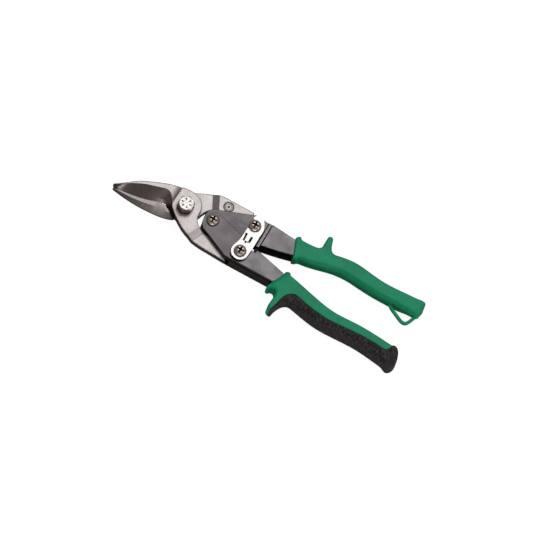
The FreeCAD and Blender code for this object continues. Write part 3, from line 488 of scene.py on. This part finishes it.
def black_soft():
    """Soft black overmould: a matt pebbled skin, a little brown where it has been handled."""
    skin = Finish("black_soft", roughness=0.62, specular=0.35)
    skin.surface.inputs["Sheen Weight"].default_value = 0.12
    skin.surface.inputs["Sheen Roughness"].default_value = 0.5
    cloud = skin.noise(6.0, detail=4)
    colour = skin.mix(skin.fit(cloud, 0.3, 0.7), (0.016, 0.013, 0.014), (0.026, 0.019, 0.021))
    worn = skin.noise(1.5, detail=3, place=skin.stretched(1.0, 0.45, 1.0))
    colour = skin.mix(skin.fit(worn, 0.46, 0.60), colour, (0.080, 0.060, 0.064))
    # Painted shade in the corners and creases.
    colour = skin.mix(skin.crevice(1.4), colour, (0.004, 0.003, 0.003))
    pebble = skin.cells(0.55)
    normal = skin.bump(pebble, 0.07, 0.6)
    normal = skin.bump(skin.noise(0.3, detail=3), 0.04, 0.5, under=normal)
    return skin.finish(colour, skin.fit(pebble, 0.1, 0.6, 0.70, 0.54), normal)


# ---------------------------------------------------------------- steel pieces, carried over from CAD

JOIN_WITHIN = 0.002
CRISP_ANGLE = math.radians(7)
BEVEL_ANGLE = math.radians(14)
CLEAR_OF_PLANE = 0.4                # edges this near the shear plane stay sharp, for they cut or slide


def crisp_edges():
    """Modifier nodes that join a CAD node's faces. Where two of them meet at an angle the shading stays
    crisp, and where the angle is plain the edge is marked for a bevel, except at the shear plane."""
    group = bpy.data.node_groups.new("crisp_edges", "GeometryNodeTree")
    for side in ("INPUT", "OUTPUT"):
        group.interface.new_socket("Geometry", in_out=side, socket_type="NodeSocketGeometry")

    def add(kind, inputs=(), **settings):
        node = group.nodes.new(kind)
        for name, value in settings.items():
            setattr(node, name, value)
        for name, value in inputs:
            socket = next(s for s in node.inputs if s.name == name and s.enabled)
            if isinstance(value, bpy.types.NodeSocket):
                group.links.new(value, socket)
            else:
                socket.default_value = value
        return next(s for s in node.outputs if s.enabled) if node.outputs else None

    def compare(operation, first, second, kind="FLOAT"):
        return add("FunctionNodeCompare", (("A", first), ("B", second)), data_type=kind, operation=operation)

    def both(first, second):
        node = group.nodes.new("FunctionNodeBooleanMath")
        node.operation = "AND"
        group.links.new(first, node.inputs[0])
        group.links.new(second, node.inputs[1])
        return node.outputs[0]

    whole = add("NodeGroupInput")
    border = compare("EQUAL", add("GeometryNodeInputMeshEdgeNeighbors"), 1, "INT")
    marked = add("GeometryNodeStoreNamedAttribute",
                 (("Geometry", whole), ("Name", "cad_border"), ("Value", border)),
                 data_type="BOOLEAN", domain="EDGE")
    joined = add("GeometryNodeMergeByDistance", (("Geometry", marked), ("Distance", JOIN_WITHIN * MM)))
    on_border = add("GeometryNodeInputNamedAttribute", (("Name", "cad_border"),), data_type="BOOLEAN")
    angle = add("GeometryNodeInputMeshEdgeAngle")
    crisp = both(on_border, compare("GREATER_THAN", angle, CRISP_ANGLE))
    smooth = add("GeometryNodeSetShadeSmooth",
                 (("Geometry", joined), ("Selection", crisp), ("Shade Smooth", False)), domain="EDGE")
    height = group.nodes.new("ShaderNodeSeparateXYZ")
    group.links.new(add("GeometryNodeInputPosition"), height.inputs[0])
    off_plane = add("ShaderNodeMath", (("Value", height.outputs["Z"]),), operation="SUBTRACT")
    off_plane.node.inputs[1].default_value = SHEAR_PLANE * MM
    distance = add("ShaderNodeMath", (("Value", off_plane),), operation="ABSOLUTE")
    clear = compare("GREATER_THAN", distance, CLEAR_OF_PLANE * MM)
    rounded = both(both(on_border, clear), compare("GREATER_THAN", angle, BEVEL_ANGLE))
    weight = group.nodes.new("ShaderNodeMath")
    weight.operation = "MULTIPLY"
    group.links.new(rounded, weight.inputs[0])
    weight.inputs[1].default_value = 1.0
    last = add("GeometryNodeStoreNamedAttribute",
               (("Geometry", smooth), ("Name", "bevel_weight_edge"), ("Value", weight.outputs[0])),
               data_type="FLOAT", domain="EDGE")
    end = group.nodes.new("NodeGroupOutput")
    group.links.new(last, end.inputs[0])
    return group


def soften(node, width, segments=2):
    """Break a CAD node's edges, and shade its flats flat."""
    piece = NODES[node]
    piece.data.shade_smooth()
    edges = piece.modifiers.new("crisp_edges", "NODES")
    edges.node_group = CRISP_EDGES
    bevel = piece.modifiers.new("edges", "BEVEL")
    bevel.width = width * MM
    bevel.segments = segments
    bevel.limit_method = "WEIGHT"
    bevel.miter_outer = "MITER_ARC"
    bevel.use_clamp_overlap = True
    shade = piece.modifiers.new("shade", "WEIGHTED_NORMAL")
    shade.keep_sharp = True
    shade.weight = 100


def dress(material, *nodes):
    """Give CAD nodes one material."""
    for node in nodes:
        slots = NODES[node].data.materials
        slots.clear()
        slots.append(material)


# ---------------------------------------------------------------- moulded pieces, as fields

SETTLING_PASSES = 3


def face_outline(node, height):
    """Ends of the edges round a CAD node's flat faces at a height, in millimetres."""
    level_within = 0.01
    mesh = NODES[node].data
    corners = [(round(v.co.x / MM, 3), round(v.co.y / MM, 3), v.co.z / MM) for v in mesh.vertices]
    count = Counter()
    for polygon in mesh.polygons:
        face = [corners[index] for index in polygon.vertices]
        if all(abs(z - height) < level_within for x, y, z in face):
            flat = [(x, y) for x, y, z in face]
            count.update(frozenset(pair) for pair in zip(flat, flat[1:] + flat[:1]) if pair[0] != pair[1])
    return [tuple(pair) for pair, times in count.items() if times == 1]


def outline_distance(outline, x, y):
    """Distance from an outline in the plane, negative inside it."""
    x, y = np.broadcast_arrays(x, y)
    nearest = np.full(x.shape, np.inf)
    inside = np.zeros(x.shape, bool)
    for (ax, ay), (bx, by) in outline:
        dx, dy = bx - ax, by - ay
        along = np.clip(((x - ax) * dx + (y - ay) * dy) / (dx * dx + dy * dy), 0, 1)
        nearest = np.minimum(nearest, np.hypot(x - ax - along * dx, y - ay - along * dy))
        if ay != by:
            inside ^= ((ay > y) != (by > y)) & (x < ax + (y - ay) * dx / dy)
    return np.where(inside, -nearest, nearest)


def step_up(value, low, high):
    """0 below low, 1 above high, and smooth between."""
    share = np.clip((value - low) / (high - low), 0, 1)
    return share * share * (3 - 2 * share)


def smooth_join(first, second, radius):
    """Union of two fields with a fillet."""
    share = np.clip(0.5 + (second - first) / (2 * radius), 0, 1)
    return second + (first - second) * share - radius * share * (1 - share)


def rounded_slab(outline, z, half, across, deep):
    """Slab with elliptical edges, across wide in the plane and deep in height."""
    beside = np.maximum(outline / across + 1, 0)
    above = np.maximum((np.abs(z) - half) / deep + 1, 0)
    return (np.hypot(beside, above) - 1) * np.minimum(across, deep)


def line_distance(points, x, y):
    """Distance from an open line of straight runs in the plane."""
    nearest = np.inf
    for (ax, ay), (bx, by) in zip(points, points[1:]):
        dx, dy = bx - ax, by - ay
        along = np.clip(((x - ax) * dx + (y - ay) * dy) / (dx * dx + dy * dy), 0, 1)
        nearest = np.minimum(nearest, np.hypot(x - ax - along * dx, y - ay - along * dy))
    return nearest


def curve_points(knots, per_run=8):
    """Points of a smooth open curve through its knots (Catmull-Rom)."""
    knots = np.array(knots, float)
    ends = np.vstack([2 * knots[0] - knots[1], knots, 2 * knots[-1] - knots[-2]])
    points = []
    for a, b, c, d in zip(ends, ends[1:], ends[2:], ends[3:]):
        for share in np.arange(per_run) / per_run:
            points.append(0.5 * (2 * b + (c - a) * share + (2 * a - 5 * b + 4 * c - d) * share ** 2
                                 + (3 * b - a - 3 * c + d) * share ** 3))
    points.append(knots[-1])
    return points


def mesh_piece(name, points, faces):
    """A smooth-shaded object from points in millimetres and faces."""
    mesh = bpy.data.meshes.new(name)
    mesh.from_pydata((points * MM).tolist(), [], faces)
    mesh.shade_smooth()
    return linked(name, mesh)


def skin_of(name, field, low, high, cell):
    """A closed quad mesh of the surface where field(x, y, z) is zero. Each cell of a grid that the surface
    crosses gets a point, and the points then settle on the surface."""
    low = np.array(low, float)
    counts = np.ceil((np.array(high) - low) / cell).astype(int) + 1
    axes = [low[axis] + cell * np.arange(counts[axis]) for axis in range(3)]
    values = field(axes[0][:, None, None], axes[1][None, :, None], axes[2][None, None, :])
    inside = values < 0

    def corner(array, shift):
        return array[tuple(slice(s, n - 1 + s) for s, n in zip(shift, counts))]

    shifts = [(i, j, k) for i in (0, 1) for j in (0, 1) for k in (0, 1)]
    total = np.zeros((*(counts - 1), 3))
    hits = np.zeros(counts - 1)
    for first in shifts:
        for axis in range(3):
            if first[axis]:
                continue
            second = tuple(1 if other == axis else s for other, s in enumerate(first))
            a, b = corner(values, first), corner(values, second)
            crossed = (a < 0) != (b < 0)
            share = np.where(crossed, a / np.where(crossed, a - b, 1), 0)
            place = np.stack([np.full(a.shape, float(s)) for s in first], -1)
            place[..., axis] += share
            total += place * crossed[..., None]
            hits += crossed
    used = hits > 0
    number = np.full(used.shape, -1)
    number[used] = np.arange(used.sum())
    points = low + cell * (np.argwhere(used) + total[used] / hits[used][:, None])

    faces = []
    for axis in range(3):
        step = np.eye(3, dtype=int)[axis]
        before = inside[tuple(slice(0, n - s) for n, s in zip(counts, step))]
        after = inside[tuple(slice(s, n) for n, s in zip(counts, step))]
        where = np.argwhere(before != after)
        u, v = np.eye(3, dtype=int)[(axis + 1) % 3], np.eye(3, dtype=int)[(axis + 2) % 3]
        ring = [number[tuple((where - move).T)] for move in (u + v, v, 0 * u, u)]
        quads = np.stack(ring, -1)
        leaving = before[tuple(where.T)]
        quads[~leaving] = quads[~leaving][:, ::-1]
        faces.append(quads)
    faces = np.vstack(faces)

    reach = cell * 0.05
    least_slope_squared = 0.05
    for _ in range(SETTLING_PASSES):
        x, y, z = points.T
        here = field(x, y, z)
        slope = np.stack([
            field(x + reach, y, z) - here, field(x, y + reach, z) - here, field(x, y, z + reach) - here,
        ], -1) / reach
        squared = np.maximum((slope ** 2).sum(-1), least_slope_squared)
        move = -here[:, None] * slope / squared[:, None]
        points = points + np.clip(move, -cell / 3, cell / 3)

    return mesh_piece(name, points, faces.tolist())


CELL = 0.5
PALM_MIDDLE = 142.0                 # x where the grips are fullest
PALM_REACH = 55.0
PALM_INSET = 0.45                   # of each face there, from the CAD grip's face
CROWN = 0.5                         # how much lower again each face is at that reach from the middle
CROWN_END = 195.0                   # x where this crown stops
RIM_TALL = 0.75                     # rim round the front end of each grip
RIM_WIDE = 1.3
UPPER_COLLAR = ((86.0, 25.2), (91.6, 7.2))      # line of the rim round the front end of each grip
LOWER_COLLAR = ((87.0, -24.5), (94.6, -5.6))
STRAP_LINE = ((170.5, 17.6), (174.5, 13.4), (182, 9.5), (187.2, 7.3), (190.9, 8.5), (194.1, 17.0),
              (194.3, 20.5))
STRAP_WIDE = 1.25                   # half its width in the plane
STRAP_DEEP = 1.5                    # and half its height
UPPER_MIDDLE = 19.5                 # y that parts the upper grip's inner side from its outer one
UPPER_FALL = 0.02                   # and how fast it falls towards the end
COVE_DEPTH = 1.7                    # grooves along both edges of the upper grip's inner side
COVE_BELOW = 3.4                    # their middles, below each face
COVE_HALF = 1.5
PANEL_DEPTH = 0.5                   # and the shallow panel between them
OVERMOULD_PROUD = 0.22              # how far the black half stands out over the green one
RIB_DEPTH = 0.28
SEAM_BEAD = 0.12                    # height of the black half's raised edge along the seam
SEAM_HALF = 0.03                    # half the gap between the green and the black half


def rim(collar, x, y):
    """How much thicker a grip is on the rim at its front end."""
    (ax, ay), (bx, by) = collar
    length = math.hypot(bx - ax, by - ay)
    off = ((x - ax) * (by - ay) - (y - ay) * (bx - ax)) / length
    return RIM_TALL * np.exp(-((off - RIM_WIDE) / RIM_WIDE) ** 2)


def grip_box(*nodes):
    """Room for a grip's field, in row-frame x and y and in height from the middle plane."""
    lows, highs = zip(*(node_box(node) for node in nodes))
    margin = 3 * CELL
    low, high = np.min(lows, 0), np.max(highs, 0)
    return ((low[0] - margin, low[1] - margin, -GRIP_HALF - margin),
            (high[0] + margin, high[1] + margin, GRIP_HALF + margin))


def lifted(piece):
    """Set a piece that was made about the middle plane at its height, and keep its origin."""
    piece.data.transform(Matrix.Translation((0, 0, SHEAR_PLANE * MM)))
    return piece


def crowned(x):
    """Half thickness of a grip, fullest at the middle of the palm."""
    return GRIP_HALF - PALM_INSET - CROWN * ((x - PALM_MIDDLE) / PALM_REACH) ** 2 * (x < CROWN_END)


def make_upper_grip():
    outline = face_outline("upper_grip", grip_high[2])
    strap = curve_points(STRAP_LINE)

    def field(x, y, z):
        edge = outline_distance(outline, x, y)
        half = crowned(x) + rim(UPPER_COLLAR, x, y)
        inner_side = step_up(-(y - UPPER_MIDDLE + UPPER_FALL * (x - PALM_MIDDLE)), -1.5, 1.5)
        along = step_up(x, 93, 97) * step_up(-x, -189, -184)
        in_cove = np.exp(-((np.abs(z) - (half - COVE_BELOW)) / COVE_HALF) ** 2)
        cove = COVE_DEPTH * inner_side * along * in_cove
        in_panel = step_up(-np.abs(z), -(GRIP_HALF - 3.8), -(GRIP_HALF - 5.0))
        panel = PANEL_DEPTH * inner_side * along * in_panel
        guard, end = step_up(y, 28, 31), step_up(x, 187, 192)
        heel = inner_side * step_up(x, 178, 194) * step_up(-z, 0, 5)
        # Radii of the rounded edges, in the plane and in height.
        across = 2.1 - 0.5 * inner_side - 0.5 * guard * (1 - end) - 0.9 * end * (1 - inner_side)
        across = across + 3.0 * heel
        deep = 3.6 - 1.2 * guard * (1 - end) - 2.0 * end + 5.5 * heel
        body = rounded_slab(edge + np.maximum(cove, panel), z, half, np.maximum(across, 0.8), deep)
        beside = line_distance(strap, x, y) / STRAP_WIDE
        loop = ((beside ** 4 + (z / STRAP_DEEP) ** 4) ** 0.25 - 1) * STRAP_WIDE
        return smooth_join(body, loop, 0.7)

    piece = lifted(skin_of("green_upper_grip", field, *grip_box("upper_grip"), CELL))
    piece.data.materials.append(GREEN)
    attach(piece, "upper_handle")
    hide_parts("upper_grip")


def lower_grip_outlines():
    """Outline of each half of the lower grip, and of both together."""
    shared_within = 0.06
    green = face_outline("lower_grip", grip_high[2])
    black = face_outline("lower_grip_overmould", grip_high[2])

    def apart(own, other):
        middle = np.array([np.mean(pair, 0) for pair in own])
        far = np.abs(outline_distance(other, middle[:, 0], middle[:, 1])) > shared_within
        return [pair for pair, keep in zip(own, far) if keep]

    return green, black, apart(green, black) + apart(black, green)


def ribs(x, y, z):
    """Crossed slanting ribs that run over the front, the outer side and the back."""
    pitch, lean = 3.4, 0.7
    down = y - np.abs(z)
    first = np.cos(2 * math.pi * (x + lean * down) / pitch)
    second = np.cos(2 * math.pi * (x - lean * down) / pitch)
    return np.maximum(first, second) ** 3


def make_lower_grip():
    green, black, both = lower_grip_outlines()

    def shape(x, y, z, proud):
        green_edge = outline_distance(green, x, y)
        black_edge = outline_distance(black, x, y)
        edge = outline_distance(both, x, y)
        edge = np.where(np.minimum(green_edge, black_edge) < 0, -np.abs(edge), np.abs(edge))
        half = crowned(x) + rim(LOWER_COLLAR, x, y) + proud
        guard = step_up(-y, 28, 32) * step_up(-x, -104, -100)
        end = step_up(x, 188, 194)
        outer_side = step_up(-y, 20, 27) * step_up(x, 102, 110)
        deep = 3.4 + 1.8 * outer_side - 1.1 * guard - 1.6 * end
        across = 1.9 + 1.6 * outer_side - 0.4 * guard - 1.5 * end
        return rounded_slab(edge - proud, z, half, across, deep), (green_edge - black_edge) / 2

    def green_field(x, y, z):
        body, side = shape(x, y, z, 0.0)
        return np.maximum(body, side + SEAM_HALF)

    def black_field(x, y, z):
        body, side = shape(x, y, z, OVERMOULD_PROUD)
        patch = step_up(side, 2.4, 3.4) * step_up(x, 106, 112) * step_up(-x, -192, -186)
        patch = patch * step_up(np.abs(z), 5.5, 7.5)
        margin = np.exp(-((side - 1.2) / 0.8) ** 2)
        body = body + RIB_DEPTH * patch * (1 - ribs(x, y, z)) - SEAM_BEAD * margin
        return -smooth_join(-body, side - SEAM_HALF, 0.5)

    box = grip_box("lower_grip", "lower_grip_overmould")
    core = lifted(skin_of("green_lower_grip", green_field, *box, CELL))
    core.data.materials.append(GREEN)
    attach(core, "lower_handle")
    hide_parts("lower_grip")
    cover = lifted(skin_of("black_overmould", black_field, *box, CELL))
    cover.data.materials.append(BLACK)
    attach(cover, "lower_handle")
    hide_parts("lower_grip_overmould")


# ---------------------------------------------------------------- return spring

WIRE_RADIUS = 0.8
COIL_RADIUS = 5.3
COIL_TURNS = 2
COIL_STEPS = 28                     # per turn
COIL_RISE = 1.68                    # per turn
UPPER_LEG = ((60.5, 4.6), (66.5, 8.0), (73.0, 17.6))
LOWER_LEG = ((33.0, 0.5), (60.5, -2.6), (66.5, -7.0), (73.0, -17.0))


def tube(name, points, radius, sides=12):
    """Round wire along points, closed at both ends."""
    points = np.array(points, float)
    ahead = np.gradient(points, axis=0)
    ahead /= np.linalg.norm(ahead, axis=1)[:, None]
    side = np.cross(ahead[0], (0, 0, 1))
    rings = []
    for place, direction in zip(points, ahead):
        side = side - direction * side.dot(direction)
        side /= np.linalg.norm(side)
        other = np.cross(direction, side)
        turn = 2 * math.pi * np.arange(sides)[:, None] / sides
        rings.append(place + radius * (np.cos(turn) * side + np.sin(turn) * other))
    count = len(rings)
    faces = [
        (ring * sides + i, ring * sides + (i + 1) % sides,
         (ring + 1) * sides + (i + 1) % sides, (ring + 1) * sides + i)
        for ring in range(count - 1) for i in range(sides)
    ]
    faces.append(tuple(reversed(range(sides))))
    faces.append(tuple((count - 1) * sides + i for i in range(sides)))
    return mesh_piece(name, np.vstack(rings), faces)


def make_spring():
    """Torsion spring: a coil round the handles' pivot bush, its lower leg along the lower handle and its
    upper leg along the upper one.
    """
    low, high = node_box("handle_pivot_bush")
    pivot = (low + high) / 2
    rise = COIL_TURNS * COIL_RISE
    top, bottom = SHEAR_PLANE + rise / 2, SHEAR_PLANE - rise / 2
    start = math.pi / 2
    coil = []
    for share in np.linspace(0, 1, COIL_TURNS * COIL_STEPS + 1):
        angle = start + 2 * math.pi * COIL_TURNS * share
        coil.append((pivot[0] + COIL_RADIUS * math.cos(angle), pivot[1] + COIL_RADIUS * math.sin(angle),
                     bottom + rise * share))
    lower = [(x, y, bottom) for x, y in curve_points([coil[0][:2], *LOWER_LEG])]
    upper = [(x, y, top) for x, y in curve_points([coil[-1][:2], *UPPER_LEG])]
    piece = tube("return_spring_wire", lower[:0:-1] + coil + upper[1:], WIRE_RADIUS)
    piece.data.materials.append(SPRING)
    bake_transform(piece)
    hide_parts("return_spring")


# ---------------------------------------------------------------- assembly

FORGED = forged_steel()
ZINC = bright_zinc()
DARK = dark_steel()
BUSH = hard_bush()
LATCH = latch_plate()
SPRING = spring_steel()
GREEN = green_moulding()
BLACK = black_soft()
CRISP_EDGES = crisp_edges()

add_camera()
add_world()
add_floor()
add_softbox("key", (-0.07, 0.50, 0.86), width=0.62, height=0.42, brightness=2.1)
add_softbox("side", (0.78, 0.05, 0.62), width=0.40, height=0.40, brightness=1.6)
add_softbox("low", (0.35, -0.92, 0.22), width=0.70, height=0.24, brightness=3.0)
bpy.context.scene.view_settings.view_transform = "Standard"

PIVOTS = ("handle_pivot", "upper_link", "lower_link")
SCREWS = [f"{pivot}_screw" for pivot in PIVOTS]
NUTS = [f"{pivot}_nut" for pivot in PIVOTS]
BUSHES = [f"{pivot}_bush" for pivot in PIVOTS]

dress(FORGED, "front_jaw", "rear_jaw", "stop_pin")
dress(ZINC, "pivot_bolt", "pivot_nut", "pivot_washer")
dress(DARK, "lower_handle", "upper_handle")
for screw, nut in zip(SCREWS, NUTS):
    dress(screw_plate(screw), screw, nut)
dress(BUSH, *BUSHES, "lower_link_spacers", "latch_washer")
dress(LATCH, "latch")

for node in ("front_jaw", "rear_jaw"):
    soften(node, 0.9, 4)
for node in ("lower_handle", "upper_handle"):
    soften(node, 0.7, 3)
soften("pivot_bolt", 0.7, 3)
soften("latch", 0.4, 3)
for node in ("pivot_nut", *SCREWS, *NUTS):
    soften(node, 0.15)
for node in ("pivot_washer", *BUSHES, "lower_link_spacers", "latch_washer", "stop_pin"):
    soften(node, 0.08)

make_upper_grip()
make_lower_grip()
make_spring()
